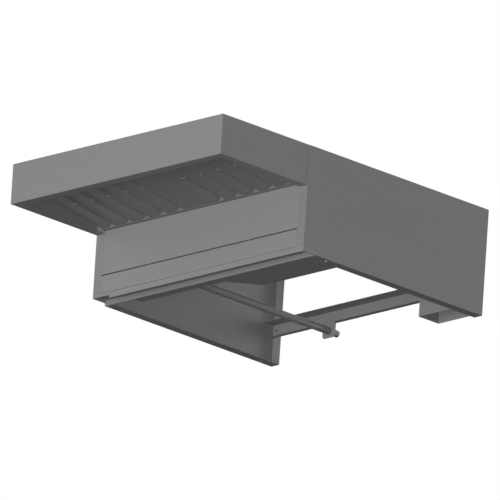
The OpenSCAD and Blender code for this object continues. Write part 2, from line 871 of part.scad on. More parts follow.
// Terminal box on the back of the air box
module junction_box() {
    color(dark_grey) difference() {
        block([jbox_x, air_y1, jbox_z], [jbox_x + jbox_w, air_y1 + jbox_d, jbox_z + jbox_h]);
        block([jbox_x + jbox_t, air_y1 + jbox_t, jbox_z + jbox_t],
              [jbox_x + jbox_w - jbox_t, air_y1 + jbox_d + cut, jbox_z + jbox_h - jbox_t]);
        translate([jbox_x + jbox_w / 2, air_y1 + jbox_d / 2, jbox_z - cut])
            cylinder(r = gland_bore + seat_gap, h = jbox_t + 2 * cut);
    }
}

module junction_lid() {
    y0 = air_y1 + jbox_d;
    color(dark_grey)
        block([jbox_x, y0, jbox_z], [jbox_x + jbox_w, y0 + jbox_lid_t, jbox_z + jbox_h]);
}

// Cable gland under the terminal box
module cable_gland() {
    color(dark_grey) translate([jbox_x + jbox_w / 2, air_y1 + jbox_d / 2, jbox_z - gland_h])
        difference() {
            union() {
                cylinder(r = gland_r, h = gland_h * gland_nut_share, $fn = 6);
                cylinder(r = gland_r * gland_neck_share, h = gland_h);
            }
            translate([0, 0, -cut]) cylinder(r = gland_bore, h = gland_h + 2 * cut);
        }
}

side_panel_left();
side_panel_right();
body_roof();
canopy_roof();
canopy_fascia();
canopy_side_left();
canopy_side_right();
front_panel();
front_flap();
drip_rail();
inner_panel();
rear_channel();
drain_pipe();
condensate_trough();
vent_duct();
filter_rail_front();
filter_rail_rear();
filter_blank();
filter_left_frame();
filter_left_gutters();
filter_left_caps();
filter_left_stays();
filter_right_frame();
filter_right_gutters();
filter_right_caps();
filter_right_stays();
hinge_fixed_leaves();
hinge_flap_leaves();
hinge_pins();
air_box();
fan_feet();
fan_scroll();
fan_lid();
fan_inlet_ring();
fan_stator();
fan_rotor();
fan_wheel();
outlet_box();
duct_collar();
collar_screws();
junction_box();
junction_lid();
cable_gland();
canopy_bolts();
channel_bolts();
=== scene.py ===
import json
import math

import bmesh
import bpy
import numpy as np
from mathutils import Matrix, Vector


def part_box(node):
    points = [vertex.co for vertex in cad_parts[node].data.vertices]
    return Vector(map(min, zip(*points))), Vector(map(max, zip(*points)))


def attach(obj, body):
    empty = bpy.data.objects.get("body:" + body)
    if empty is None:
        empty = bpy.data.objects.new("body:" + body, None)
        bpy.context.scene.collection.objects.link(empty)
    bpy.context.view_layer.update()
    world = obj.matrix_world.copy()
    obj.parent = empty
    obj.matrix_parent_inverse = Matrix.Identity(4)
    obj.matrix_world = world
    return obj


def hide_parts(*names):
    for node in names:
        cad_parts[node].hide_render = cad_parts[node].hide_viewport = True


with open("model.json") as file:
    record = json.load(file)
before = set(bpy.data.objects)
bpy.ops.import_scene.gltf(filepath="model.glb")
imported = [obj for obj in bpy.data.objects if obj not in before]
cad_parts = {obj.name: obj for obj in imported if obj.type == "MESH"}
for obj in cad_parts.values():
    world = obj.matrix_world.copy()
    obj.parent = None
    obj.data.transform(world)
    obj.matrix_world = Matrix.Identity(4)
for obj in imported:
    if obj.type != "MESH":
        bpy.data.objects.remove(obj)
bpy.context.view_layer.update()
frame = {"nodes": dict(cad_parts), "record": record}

# Units
MM = 0.001
FULL_TURN = 2 * math.pi

# Sheets and filters, as the frame's nodes measure them
SHEET = 1.5 * MM
FILTER_SLOPE = math.radians(7.5)
GUTTER_RISE = 13 * MM
GUTTER_SHEET = 1 * MM
GUTTER_POINTS = 33
SLOT_WIDTH = 8 * MM
SLOTS = 5
CAP_LAP = 16 * MM
CAP_DROP = 10 * MM
CAP_GAP = 0.3 * MM
CAP_POINTS = 29
FRAME_HEIGHT = 28 * MM
STAY_LOW = 6 * MM
STAY_HIGH = 12 * MM
STAY_EDGE = 0.25 * MM

# Edges: the break of a cut edge, the angles of creases and folds, and how near points merge
BURR = 0.3 * MM
GRID_CREASE = math.radians(35)
FOLD_CREASE = math.radians(24)
FOLD_LEAST = math.radians(25)
FLAT_WITHIN = math.radians(0.4)
MERGE_CAD = 0.004 * MM
MERGE_GRID = 0.01 * MM

# Drain pipe, with the radii of its wall's six corners
PIPE_WALL = 1.5 * MM
PIPE_LIPS = [0.5 * MM, 0.5 * MM, 0.3 * MM, 0.15 * MM, 0.45 * MM, 0.45 * MM]
HOSE_LENGTH = 31 * MM
HOSE_STEP = 0.5 * MM

# Collar
COLLAR_R = 74 * MM
COLLAR_SHEET = 1.2 * MM
COLLAR_FILLET = 1.2 * MM
COLLAR_BEAD = 1.5 * MM
COLLAR_BEAD_SHARE = 0.2
COLLAR_BEAD_REACH = 2.4 * MM
COLLAR_SCREWS = 6

# Bolts and hinge pins
BOLT_SHANK = 2.5 * MM
BOLT_FLAT = 3.98 * MM
BOLT_CORNER = 4.6 * MM
BOLT_TALL = 3.5 * MM
BOLT_CHAMFER = 0.7 * MM
NUT_TALL = 2.8 * MM
NUT_CHAMFER = 0.5 * MM
NUT_BORE = BOLT_SHANK * 0.8
PIN_LENGTH = 8.9 * MM
HEX_COLUMNS = 48

# Screw with a washer: (radius, height) in millimetres, of the washer and of the dished head
WASHER = ((0, 0), (4, 0), (4, 0.5), (3, 0.8), (0, 0.8))
SCREW_HEAD = ((0, 0.6), (3.1, 0.6), (3.1, 2.1), (2.75, 2.4), (2.2, 2.4), (1.6, 2.0), (0, 1.9))
WASHER_R = 4 * MM
SCREW_FLAT = 2.75 * MM
SCREW_TALL = 2.4 * MM
SCREW_SHANK = 2 * MM
LID_SCREW_SCALE = 0.8
LID_SCREW_LENGTH = 10 * MM
LID_SCREW_INSET = 7 * MM

# Small rivet in each filter frame
STUD_R = 1.6 * MM
STUD_H = 1 * MM
STUD_ROOT = 0.8 * MM
STUD_EDGE = 8 * MM
STUD_REAR = 30 * MM

# Terminal box: its wall, its outer corners, and the raised pad on its lid
BOX_WALL = 2 * MM
BOX_CORNER = 6 * MM
LID_PAD = 0.8 * MM
PAD_CORNER = 9 * MM
PAD_INSET = 13 * MM

# Gland
GLAND_BORE = 4 * MM
GLAND_FLAT = 7 * MM
GLAND_CORNER = 7.9 * MM
GLAND_CHAMFER = 7.2 * MM
GLAND_BODY_TALL = 5 * MM
GLAND_NUT_R = 7.4 * MM
GLAND_NOSE_R = 5.6 * MM
GLAND_SEAL = 0.7 * MM
GLAND_RIBS = 18

# Fan
FOOT_R = 9 * MM
FOOT_WAIST = 1.6 * MM
INLET_FLARE = 12 * MM
INLET_SHEET = 1.2 * MM
STATOR_H = 4 * MM
SPINDLE_R = 5 * MM
ROTOR_R = 40 * MM
ROTOR_WALL = 4 * MM
ROTOR_HUB_R = 9 * MM
ROTOR_RIBS = 36
RIB_DEPTH = 0.8 * MM
SCROLL_GAP = 10 * MM
SCROLL_GROW = 60 * MM
SCROLL_TONGUE = math.radians(70)
TONGUE_BEND = 4 * MM
BLADES = 28
BLADE_DEPTH = 17 * MM
BLADE_LEAN = math.radians(26)
BLADE_SHEET = 1 * MM
BLADE_INSET = 0.4 * MM
WHEEL_DISC = 2 * MM

# Camera: a parallel view of the hood from its right front, slightly from below
VIEW_WIDTH = 1.4717
VIEW_DISTANCE = 2.0
VIEW_HEADING = math.radians(45.87)
VIEW_RISE = math.radians(17.55)
VIEW_ROLL = math.radians(3.67)
VIEW_CENTRE = Vector((0.0268, -0.0292, 0.1249))
VIEW_REACH = 60

# Room
FLOOR_Z = -4.2
FLOOR_HALF = 40.0
FLOOR_GREY = 0.7
FLOOR_GLOW = 0.86
FLOOR_BOUNCE = 0.125
AIR_LIGHT = 0.09

# Softboxes: name, place, size, watts, and whether they cast a shadow
SOFTBOXES = (
    ("key", (1.4, -8.5, -2.0), (9.0, 3.2), 300, True),
    ("even_key", (1.4, -8.5, -2.0), (9.0, 3.2), 435, False),
    ("even_side", (8.5, 0.2, 0.1), (5.0, 3.0), 88, False),
    ("left_fill", (-4.4, 0.8, 0.7), (3.0, 2.4), 70, True),
    ("rear_fill", (0.9, 4.8, 0.2), (3.0, 2.6), 110, True),
    ("top_fill", (0.4, 0.2, 4.2), (3.0, 3.0), 130, True),
)
HOOD_MIDDLE = Vector((0, 0, 0.15))

# Mix node's colour sockets
MIX_A, MIX_B, MIX_OUT = 6, 7, 2


class Wire:
    """A shader socket in Python sums: each operator adds the Math node that it stands for."""

    def __init__(self, finish, socket):
        self.finish, self.socket = finish, socket

    def math(self, operation, *terms):
        return self.finish.node("Math", dict(enumerate(terms)), {"operation": operation})

    def __add__(self, other):
        return self.math("ADD", self, other)

    def __radd__(self, other):
        return self.math("ADD", other, self)

    def __sub__(self, other):
        return self.math("SUBTRACT", self, other)

    def __rsub__(self, other):
        return self.math("SUBTRACT", other, self)

    def __mul__(self, other):
        return self.math("MULTIPLY", self, other)

    def __rmul__(self, other):
        return self.math("MULTIPLY", other, self)

    def clamped(self):
        return self.math("MAXIMUM", self.math("MINIMUM", self, 1.0), 0.0)


class Finish:
    """A material's node tree, or the world's."""

    def __init__(self, name, owner=None):
        self.owner = owner or bpy.data.materials.new(name)
        self.owner.use_nodes = True
        self.tree = self.owner.node_tree
        self.tree.nodes.clear()

    def node(self, kind, inputs=None, settings=None, out=0):
        """Adds one node: its settings, then its sockets' values or wires. Returns one output."""
        new = self.tree.nodes.new("ShaderNode" + kind)
        for key, value in (settings or {}).items():
            setattr(new, key, value)
        for key, value in (inputs or {}).items():
            if isinstance(value, Wire):
                self.tree.links.new(value.socket, new.inputs[key])
            else:
                new.inputs[key].default_value = value
        return Wire(self, new.outputs[out]) if new.outputs else None

    def place(self):
        return self.node("TexCoord", out="Object")

    def noise(self, waves, detail=2.0, roughness=0.5):
        """Noise of a given number of waves a metre, alike on all axes or one number for each."""
        scale = waves if isinstance(waves, (list, tuple)) else (waves,) * 3
        where = self.node("Mapping", {"Vector": self.place(), "Scale": scale})
        return self.node("TexNoise", {"Vector": where, "Scale": 1.0, "Detail": detail,
                                      "Roughness": roughness})

    def mix(self, factor, low, high):
        """A colour between two."""
        inputs = {0: factor, MIX_A: low, MIX_B: high}
        return self.node("Mix", inputs, {"data_type": "RGBA"}, MIX_OUT)

    def shades(self, factor, tone, spread):
        """A grey between two that lie a share of the tone below it and above it."""
        return self.mix(factor, grey(tone * (1 - spread)), grey(tone * (1 + spread)))

    def edges(self, radius, samples=4, gain=2.2):
        """The normal rounded over the edges, and a mask that is 1 on them."""
        rounded = self.node("Bevel", {"Radius": radius}, {"samples": samples})
        flat = self.node("NewGeometry", out="Normal")
        same = self.node("VectorMath", {0: rounded, 1: flat}, {"operation": "DOT_PRODUCT"}, "Value")
        return rounded, ((1 - same) * gain).clamped()

    def bump(self, height, strength, depth, normal):
        return self.node("Bump", {"Strength": strength, "Distance": depth, "Height": height,
                                  "Normal": normal})

    def close(self, shader_inputs):
        """The shader and the output."""
        shader = self.node("BsdfPrincipled", shader_inputs)
        self.node("OutputMaterial", {"Surface": shader})
        return self.owner


def grey(value, warm=0.0):
    return (value * (1 + warm), value, value * (1 - warm), 1)


def drawn_out(waves, waves_along, axis):
    """Waves a metre on X, Y and Z, for streaks that run along one axis."""
    scale = [waves] * 3
    scale[axis] = waves_along
    return scale


def brushed_steel(name, tone, along, rough=0.42):
    """Satin sheet brushed along an axis: fine and broad streaks, faint clouds, bright folds."""
    finish = Finish(name)
    streaks = finish.noise(drawn_out(900.0, 9.0, along), 2.0, 0.6)
    bands = finish.noise(drawn_out(110.0, 1.6, along), 3.0, 0.55)
    clouds = finish.noise((3.1, 3.7, 4.3), 3.0, 0.6)
    rounded, worn = finish.edges(1.1 * MM)
    colour = finish.shades(streaks * 0.5 + bands * 0.3 + clouds * 0.2, tone, 0.11)
    return finish.close({
        "Base Color": finish.mix(worn * 0.45, colour, grey(tone * 1.5)),
        "Metallic": 0.08,
        "Specular IOR Level": 0.2,
        "Roughness": (rough - 0.05) + streaks * 0.06 + clouds * 0.05 - worn * 0.08,
        "Normal": finish.bump(streaks, 0.35, 0.03 * MM, rounded),
    })


def zinc_coat(name, tone):
    """Galvanised sheet: crystals of slightly different greys, with a dull sheen."""
    finish = Finish(name)
    crystals = finish.node("TexVoronoi", {"Vector": finish.place(), "Scale": 95.0}, out="Color")
    shade = finish.node("SeparateColor", {"Color": crystals}, out="Red")
    clouds = finish.noise(6.0, 3.0, 0.6)
    rounded, worn = finish.edges(0.8 * MM)
    colour = finish.shades(shade * 0.7 + clouds * 0.3, tone, 0.12)
    return finish.close({
        "Base Color": finish.mix(worn * 0.4, colour, grey(tone * 1.4)),
        "Metallic": 0.6,
        "Roughness": 0.38 + shade * 0.12,
        "Normal": finish.bump(shade, 0.2, 0.02 * MM, rounded),
    })


def dark_paint(name, tone):
    """Black paint on the motor: fine orange peel, and grey where the edges are rubbed."""
    finish = Finish(name)
    peel = finish.noise(420.0, 2.0, 0.5)
    dust = finish.noise(14.0, 4.0, 0.65)
    rounded, worn = finish.edges(0.7 * MM)
    colour = finish.mix(dust * 0.6, grey(tone), grey(tone * 1.8))
    return finish.close({
        "Base Color": finish.mix(worn * 0.5, colour, grey(0.2)),
        "Roughness": 0.4 + dust * 0.2,
        "Coat Weight": 0.15,
        "Normal": finish.bump(peel, 0.3, 0.05 * MM, rounded),
    })


def moulded(name, tone, rough):
    """Moulded plastic or rubber: a fine eroded grain and a dull surface."""
    finish = Finish(name)
    grain = finish.noise(1300.0, 2.0, 0.5)
    dust = finish.noise(22.0, 3.0, 0.6)
    rounded, worn = finish.edges(0.6 * MM)
    colour = finish.mix(dust, grey(tone * 0.85), grey(tone * 1.25))
    return finish.close({
        "Base Color": finish.mix(worn * 0.3, colour, grey(tone * 2.2)),
        "Roughness": rough + grain * 0.1,
        "Normal": finish.bump(grain, 0.4, 0.04 * MM, rounded),
    })


def bright_zinc(name, tone):
    """Zinc plated fasteners: bright, slightly blotched."""
    finish = Finish(name)
    blotches = finish.noise(240.0, 3.0, 0.6)
    rounded, worn = finish.edges(0.4 * MM)
    colour = finish.mix(blotches, grey(tone * 0.85, -0.02), grey(tone * 1.15, 0.01))
    return finish.close({
        "Base Color": finish.mix(worn * 0.4, colour, grey(0.7)),
        "Metallic": 0.85,
        "Roughness": 0.28 + blotches * 0.12,
        "Normal": rounded,
    })


# Finishes, by the axis along which a sheet is brushed
ACROSS, ALONG, UPRIGHT = 0, 1, 2
STEEL_ACROSS = brushed_steel("steel_brushed_across", 0.25, ACROSS)
STEEL_ALONG = brushed_steel("steel_brushed_along", 0.25, ALONG)
# Front panel, flap and drip rail: the same steel a shade lighter, as painted light that makes up
# for the shade under the canopy
STEEL_FRONT_PAINTED_LIGHT = brushed_steel("steel_brushed_front_painted_light", 0.268, ACROSS)
STEEL_UPRIGHT = brushed_steel("steel_brushed_upright", 0.25, UPRIGHT)
# Filters: the same steel in a darker tone, as painted shade that darkens their downward faces
FILTER_STEEL_PAINTED_SHADE = brushed_steel("filter_steel", 0.192, ALONG, rough=0.38)
# Condensate trough: the steel made far darker, as painted shade that keeps the slit in the front
# panel dark
TROUGH_STEEL_PAINTED_SHADE = brushed_steel("trough_steel_painted_shade", 0.1, ACROSS, rough=0.5)
GALVANISED = zinc_coat("galvanised_sheet", 0.3)
MOTOR_BLACK = dark_paint("motor_paint", 0.02)
RUBBER = moulded("rubber_feet", 0.018, 0.75)
BOX_PLASTIC = moulded("terminal_box_plastic", 0.05, 0.5)
FASTENER = bright_zinc("zinc_fasteners", 0.42)

SIDES = ("left", "right")
FILTER_PARTS = ("frame", "gutters", "caps", "stays")
FINISHED_NODES = (
    (STEEL_ALONG, ("side_panel_left", "side_panel_right", "canopy_side_left", "canopy_side_right",
                   "drain_pipe")),
    (STEEL_ACROSS, ("body_roof", "canopy_roof", "canopy_fascia", "inner_panel", "rear_channel",
                    "duct_collar")),
    (STEEL_FRONT_PAINTED_LIGHT, ("front_panel", "front_flap", "drip_rail")),
    (STEEL_UPRIGHT, ("vent_duct",)),
    (TROUGH_STEEL_PAINTED_SHADE, ("condensate_trough",)),
    (FILTER_STEEL_PAINTED_SHADE, ("filter_rail_front", "filter_rail_rear", "filter_blank")),
    (FILTER_STEEL_PAINTED_SHADE, [f"filter_{side}_{part}" for side in SIDES for part in FILTER_PARTS]),
    (GALVANISED, ("air_box", "fan_scroll", "fan_lid", "fan_inlet_ring", "fan_wheel", "outlet_box")),
    (MOTOR_BLACK, ("fan_stator", "fan_rotor")),
    (RUBBER, ("fan_feet",)),
    (BOX_PLASTIC, ("junction_box", "junction_lid", "cable_gland")),
    (FASTENER, ("hinge_fixed_leaves", "hinge_flap_leaves", "hinge_pins", "collar_screws",
                "canopy_bolts", "channel_bolts")),
)
NODE_FINISH = {node: finish for finish, nodes in FINISHED_NODES for node in nodes}

FOLDED_SHEETS = ("side_panel_left", "side_panel_right", "body_roof", "canopy_roof", "canopy_fascia",
                 "canopy_side_left", "canopy_side_right", "front_panel", "front_flap", "drip_rail",
                 "inner_panel", "rear_channel", "vent_duct", "air_box", "outlet_box",
                 "filter_rail_front", "filter_rail_rear", "filter_blank")
THIN_SHEETS = ("filter_left_frame", "filter_right_frame", "hinge_fixed_leaves", "hinge_flap_leaves")


def body_of(node):
    """The body that a node rides on."""
    bodies = frame["record"]["behaviour"]["bodies"]
    return next(body for body, nodes in bodies.items() if node in nodes)


def slot_of(node):
    """The material slot of a node."""
    return next(s["material_slot"] for s in frame["record"]["subparts"] if s["node"] == node)


def set_finish(piece, material):
    piece.data.materials.clear()
    piece.data.materials.append(material)


def grid_mesh(name, sheets):
    """A mesh from grids of points, each (rows, columns, 3), whose columns close on themselves.

    A sheet's signed volume is a sixth of the sum, over its triangles, of the corners' triple
    product. Where that is negative the faces point inwards, so their corners are taken the other
    way round.
    """
    places, faces, start = [], [], 0
    for points in sheets:
        rows, columns = points.shape[:2]
        index = np.arange(rows * columns).reshape(rows, columns)
        a, b = index[:-1], index[1:]
        quads = np.stack([a, np.roll(a, -1, 1), np.roll(b, -1, 1), b], axis=-1).reshape(-1, 4)
        flat = points.reshape(-1, 3)
        near = flat - flat.mean(0)
        p, q, r, t = (near[quads[:, i]] for i in range(4))
        if ((np.cross(p, q) * r).sum() + (np.cross(p, r) * t).sum()) < 0:
            quads = quads[:, ::-1]
        places.append(flat)
        faces.append(quads + start)
        start += rows * columns
    mesh = bpy.data.meshes.new(name)
    mesh.from_pydata(np.concatenate(places).tolist(), [], np.concatenate(faces).tolist())
    work = bmesh.new()
    work.from_mesh(mesh)
    bmesh.ops.remove_doubles(work, verts=work.verts, dist=MERGE_GRID)
    work.to_mesh(mesh)
    work.free()
    mesh.shade_smooth()
    mesh.set_sharp_from_angle(angle=GRID_CREASE)
    return mesh


def add_piece(name, mesh, node, finish=None):
    """Links a new piece that stands for a CAD node, with the node's finish or its own."""
    piece = bpy.data.objects.new(name, mesh)
    bpy.context.scene.collection.objects.link(piece)
    set_finish(piece, finish or NODE_FINISH[node])
    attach(piece, body_of(node))
    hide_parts(node)
    slot_of(node)
    return piece


def box_middle(node):
    """Middle and corners of a node's box."""
    low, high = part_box(node)
    return (low + high) / 2, low, high


def line_normals(line):
    """Unit normals of a flat line of points: its direction at each point, turned left."""
    along = np.gradient(line, axis=0)
    along /= np.linalg.norm(along, axis=1)[:, None]
    return np.stack([-along[:, 1], along[:, 0]], axis=1)


def softened(corners, radii, closed=True, steps=6):
    """An outline whose corners are arcs that touch both their sides; an open one keeps its ends."""
    corners = np.asarray(corners, float)
    radii = np.broadcast_to(np.asarray(radii, float), len(corners))
    before = np.roll(corners, 1, 0) - corners
    after = np.roll(corners, -1, 0) - corners
    before /= np.linalg.norm(before, axis=1)[:, None]
    after /= np.linalg.norm(after, axis=1)[:, None]
    half = np.arccos(np.clip((before * after).sum(1), -0.9999, 1)) / 2
    middle = before + after
    middle /= np.maximum(np.linalg.norm(middle, axis=1), 1e-9)[:, None]
    centre = corners + middle * (radii / np.sin(half))[:, None]
    first = corners + before * (radii / np.tan(half))[:, None] - centre
    last = corners + after * (radii / np.tan(half))[:, None] - centre
    share = np.linspace(0, 1, steps)[None, :, None]
    turn = (math.pi - 2 * half)[:, None, None]
    arc = np.sin((1 - share) * turn) * first[:, None] + np.sin(share * turn) * last[:, None]
    arc = arc / np.maximum(np.sin(turn), 1e-9) + centre[:, None]
    if closed:
        return arc.reshape(-1, 2)
    return np.concatenate([corners[:1], arc[1:-1].reshape(-1, 2), corners[-1:]])


def turned(outline, centre, axis="Z", columns=72, reach=None):
    """An outline of (radius, height) turned about an axis through a centre.

    A point is the radius times the cosine and sine of its column's angle, and the height along the
    axis. The outline closes on itself unless it starts on the axis. reach maps radii and angles to
    new radii, for heads and ribs that aren't round.
    """
    outline = np.asarray(outline, float)
    if outline[0, 0] > 0:
        outline = np.concatenate([outline, outline[:1]])
    angle = np.linspace(0, FULL_TURN, columns, endpoint=False)[None, :]
    radius = np.repeat(outline[:, :1], columns, 1)
    if reach is not None:
        radius = reach(radius, angle)
    u, v = radius * np.cos(angle), radius * np.sin(angle)
    w = np.repeat(outline[:, 1:], columns, 1)
    order = {"X": (w, u, v), "Y": (u, w, v), "Z": (u, v, w)}[axis]
    return np.stack(order, axis=-1) + np.asarray(centre)


def hexagon(half_breadth):
    """Keeps radii in a hexagon: half its breadth over the cosine of the turn from a flat."""
    def reach(radius, angle):
        flat = half_breadth / np.cos((angle + math.pi / 6) % (math.pi / 3) - math.pi / 6)
        return np.minimum(radius, flat)
    return reach


def ribbed(count, depth, inner):
    """Radii beyond an inner one swell and sink by a cosine wave round the axis."""
    def reach(radius, angle):
        return radius + np.where(radius > inner, depth * (np.cos(count * angle) - 1) / 2, 0)
    return reach


def threaded(radius, start, end, pitch=0.8 * MM, depth=0.12 * MM, points=6):
    """Outline of a threaded rod: its radius sinks by a cosine wave along its length."""
    along = np.linspace(start, end, int(abs(end - start) / pitch * points) + 2)
    wave = radius - depth * (1 - np.cos((along - start) * FULL_TURN / pitch)) / 2
    return np.concatenate([[(0, start)], np.stack([wave, along], 1), [(0, end)]])


def upright(centre):
    """Places flat points round a centre, at a height."""
    def place(flat, height):
        return np.stack([flat[:, 0], flat[:, 1], np.full(len(flat), height)], axis=1) + centre
    return place


def strip_bar(middle, normal, thickness, ends, place):
    """A bent strip drawn out to a bar with closed, slightly rounded edges.

    middle is the strip's middle line and normal its unit normals, both (n, 2). A loop runs along
    one side, half the thickness out, and back along the other. Two rings at each end step in by the
    edge's radius, and the last ring lies on the middle line, which closes the end.
    """
    edge = thickness / 4
    tangent = np.stack([normal[:, 1], -normal[:, 0]], axis=1)
    reach = np.zeros(len(middle))
    reach[0], reach[-1] = -1, 1

    def ring(share):
        pulled = middle - tangent * (reach * edge)[:, None]
        side = normal * (thickness / 2 * share)
        tips = [middle[-1:] + normal[-1:] * (edge * share * s) for s in (1, -1)]
        tails = [middle[:1] + normal[:1] * (edge * share * s) for s in (-1, 1)]
        return np.concatenate([pulled + side, *tips, (pulled - side)[::-1], *tails])

    low, high = ends
    steps = ((0.0, low), (0.6, low), (1.0, low + edge), (1.0, high - edge), (0.6, high),
             (0.0, high))
    return np.stack([place(ring(share), at) for share, at in steps])


def filter_frame_of(side):
    """Where a filter's own axes lie: X across, Y down the slope and Z out of its top.

    Returns the matrix of its axes, the breadth from slot to slot and the length down the slope.
    """
    low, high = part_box(f"filter_{side}_frame")
    run = high.y - low.y
    length = (run - FRAME_HEIGHT * math.sin(FILTER_SLOPE)) / math.cos(FILTER_SLOPE)
    rear_low = Vector((low.x, high.y - FRAME_HEIGHT * math.sin(FILTER_SLOPE), low.z))
    turn = Matrix.Rotation(-FILTER_SLOPE, 4, "X")
    front_low = rear_low - turn @ Vector((0, length, 0))
    return Matrix.Translation(front_low) @ turn, (high.x - low.x) / SLOTS, length


def on_slope(matrix):
    """Places (across, up) pairs at a distance down a filter's slope."""
    def place(flat, down):
        local = np.stack([flat[:, 0], np.full(len(flat), down), flat[:, 1], np.ones(len(flat))])
        return (np.array(matrix) @ local)[:3].T
    return place


def baffle_bar(matrix, length, centre, half, rise, base, shares):
    """One baffle: its height changes by the rise times the cube of the share across."""
    height = base + rise * np.abs(shares) ** 3
    slope = rise * 3 * shares * np.abs(shares) / half
    normal = np.stack([-slope, np.ones_like(slope)], axis=1)
    normal /= np.linalg.norm(normal, axis=1)[:, None]
    middle = np.stack([centre + half * shares, height], axis=1)
    return strip_bar(middle, normal, GUTTER_SHEET, (GUTTER_SHEET, length - GUTTER_SHEET),
                     on_slope(matrix))


def make_gutters(side):
    """Lower baffles: gutters between the air slots, and half ones along the frame's sides."""
    matrix, pitch, length = filter_frame_of(side)
    half = (pitch - SLOT_WIDTH) / 2
    sheets = []
    for i in range(SLOTS + 1):
        low = GUTTER_SHEET / half if i == 0 else -1.0
        high = -GUTTER_SHEET / half if i == SLOTS else 1.0
        sheets.append(baffle_bar(matrix, length, i * pitch, half, GUTTER_RISE, GUTTER_SHEET / 2,
                                 np.linspace(low, high, GUTTER_POINTS)))
    name = f"filter_{side}_gutters"
    add_piece(f"formed_{name}", grid_mesh(name, sheets), name)


def make_caps(side):
    """Upper baffles: the gutters' shape turned over, over each air slot."""
    matrix, pitch, length = filter_frame_of(side)
    half = SLOT_WIDTH / 2 + CAP_LAP
    top = FRAME_HEIGHT - GUTTER_SHEET - CAP_GAP - GUTTER_SHEET / 2
    shares = np.linspace(-1, 1, CAP_POINTS)
    sheets = [baffle_bar(matrix, length, (i + 0.5) * pitch, half, -CAP_DROP, top, shares)
              for i in range(SLOTS)]
    name = f"filter_{side}_caps"
    add_piece(f"formed_{name}", grid_mesh(name, sheets), name)


def make_stays(side):
    """Stays between the gutters: plates whose half width is half the pitch, less a gutter's half
    width times the cube root of height over rise."""
    matrix, pitch, length = filter_frame_of(side)
    half = (pitch - SLOT_WIDTH) / 2
    height = np.linspace(STAY_LOW, STAY_HIGH, 11)
    edge = pitch / 2 - half * np.cbrt(height / GUTTER_RISE) - CAP_GAP
    outline = np.concatenate([np.stack([edge, height], 1), np.stack([-edge, height], 1)[::-1]])
    middle = np.array([0, (STAY_LOW + STAY_HIGH) / 2])
    place = on_slope(matrix)
    low, high = (length - SHEET) / 2, (length + SHEET) / 2
    rings = ((0, 0.9, low), (1, 0.9, low), (1, 1, low + STAY_EDGE), (1, 1, high - STAY_EDGE),
             (1, 0.9, high), (0, 0.9, high))
    sheets = []
    for i in range(SLOTS):
        loops = []
        for across, shrink, down in rings:
            loop = middle + (outline - middle) * shrink
            loops.append(place(loop * (across, 1) + ((i + 0.5) * pitch, 0), down))
        sheets.append(np.stack(loops))
    name = f"filter_{side}_stays"
    add_piece(f"cut_{name}", grid_mesh(name, sheets), name)


def make_studs(side):
    """Dome of a small rivet in the filter's rear left corner: its height falls with the square of
    the share of its radius."""
    matrix, _, length = filter_frame_of(side)
    share = np.linspace(0, 1, 7)
    dome = np.stack([STUD_R * share, -STUD_H * (1 - share ** 2) - 0.01 * MM], 1)
    outline = np.concatenate([dome, [(STUD_R, STUD_ROOT), (0, STUD_ROOT)]])
    stud = turned(outline, (STUD_EDGE, length - STUD_REAR, 0), "Z", 24)
    flat = np.concatenate([stud, np.ones(stud.shape[:2] + (1,))], axis=-1)
    stud = (flat @ np.array(matrix).T)[..., :3]
    name = f"frame_rivet_{side}"
    add_piece(name, grid_mesh(name, [stud]), f"filter_{side}_frame", FASTENER)


def face_breadths(work):
    """Rough breadth of each face: twice its area over its perimeter, as for a long strip."""
    areas = np.array([face.calc_area() for face in work.faces])
    rims = np.array([sum(edge.calc_length() for edge in face.edges) for face in work.faces])
    return 2 * areas / rims


def folded_from_node(node, outside=0.6 * MM, inside=0.35 * MM, cut=0.3 * MM, broad=3 * MM):
    """A copy of a folded sheet's CAD mesh with real bends.

    Its triangles are joined into flat faces. A fold is an edge between two broad faces: it is
    rounded by the outside radius where it is convex and by the inside radius where it is hollow.
    Every other sharp edge is a cut edge, and only loses its burr.
    """
    mesh = frame["nodes"][node].data.copy()
    work = bmesh.new()
    work.from_mesh(mesh)
    bmesh.ops.remove_doubles(work, verts=work.verts, dist=MERGE_CAD)
    bmesh.ops.dissolve_limit(work, angle_limit=FLAT_WITHIN, verts=work.verts, edges=work.edges)
    work.faces.index_update()
    breadth = face_breadths(work)
    layer = work.edges.layers.float.new("bevel_weight_edge")
    for edge in work.edges:
        if len(edge.link_faces) != 2 or abs(edge.calc_face_angle_signed()) < FOLD_LEAST:
            continue
        folded = min(breadth[face.index] for face in edge.link_faces) > broad
        bend = outside if edge.calc_face_angle_signed() > 0 else inside
        edge[layer] = (bend if folded else cut) / outside
    work.to_mesh(mesh)
    work.free()
    mesh.shade_smooth()
    mesh.set_sharp_from_angle(angle=FOLD_CREASE)
    piece = add_piece(f"formed_{node}", mesh, node)
    bends = piece.modifiers.new("bends", "BEVEL")
    bends.limit_method = "WEIGHT"
    bends.width = outside
    bends.segments = 3
    bends.use_clamp_overlap = False
    bends.harden_normals = True


def hex_bolt(x, z, head_y, end_y, nut_y):
    """Hexagon bolt along Y with a nut: each is an outline turned about Y, kept within a hexagon."""
    centre = (x, 0, z)
    back_y, far_y = head_y + BOLT_TALL, nut_y + NUT_TALL
    head = softened([(0, head_y), (BOLT_FLAT, head_y), (BOLT_CORNER, head_y + BOLT_CHAMFER),
                     (BOLT_CORNER, back_y), (0, back_y)], 0.2 * MM, False)
    nut = [(NUT_BORE, nut_y), (BOLT_CORNER, nut_y), (BOLT_CORNER, far_y - NUT_CHAMFER),
           (BOLT_FLAT, far_y), (NUT_BORE, far_y)]
    rod = threaded(BOLT_SHANK, head_y + BOLT_TALL * 0.6, end_y)
    return [turned(head, centre, "Y", HEX_COLUMNS, hexagon(BOLT_FLAT)),
            turned(nut, centre, "Y", HEX_COLUMNS, hexagon(BOLT_FLAT)),
            turned(rod, centre, "Y", 20)]


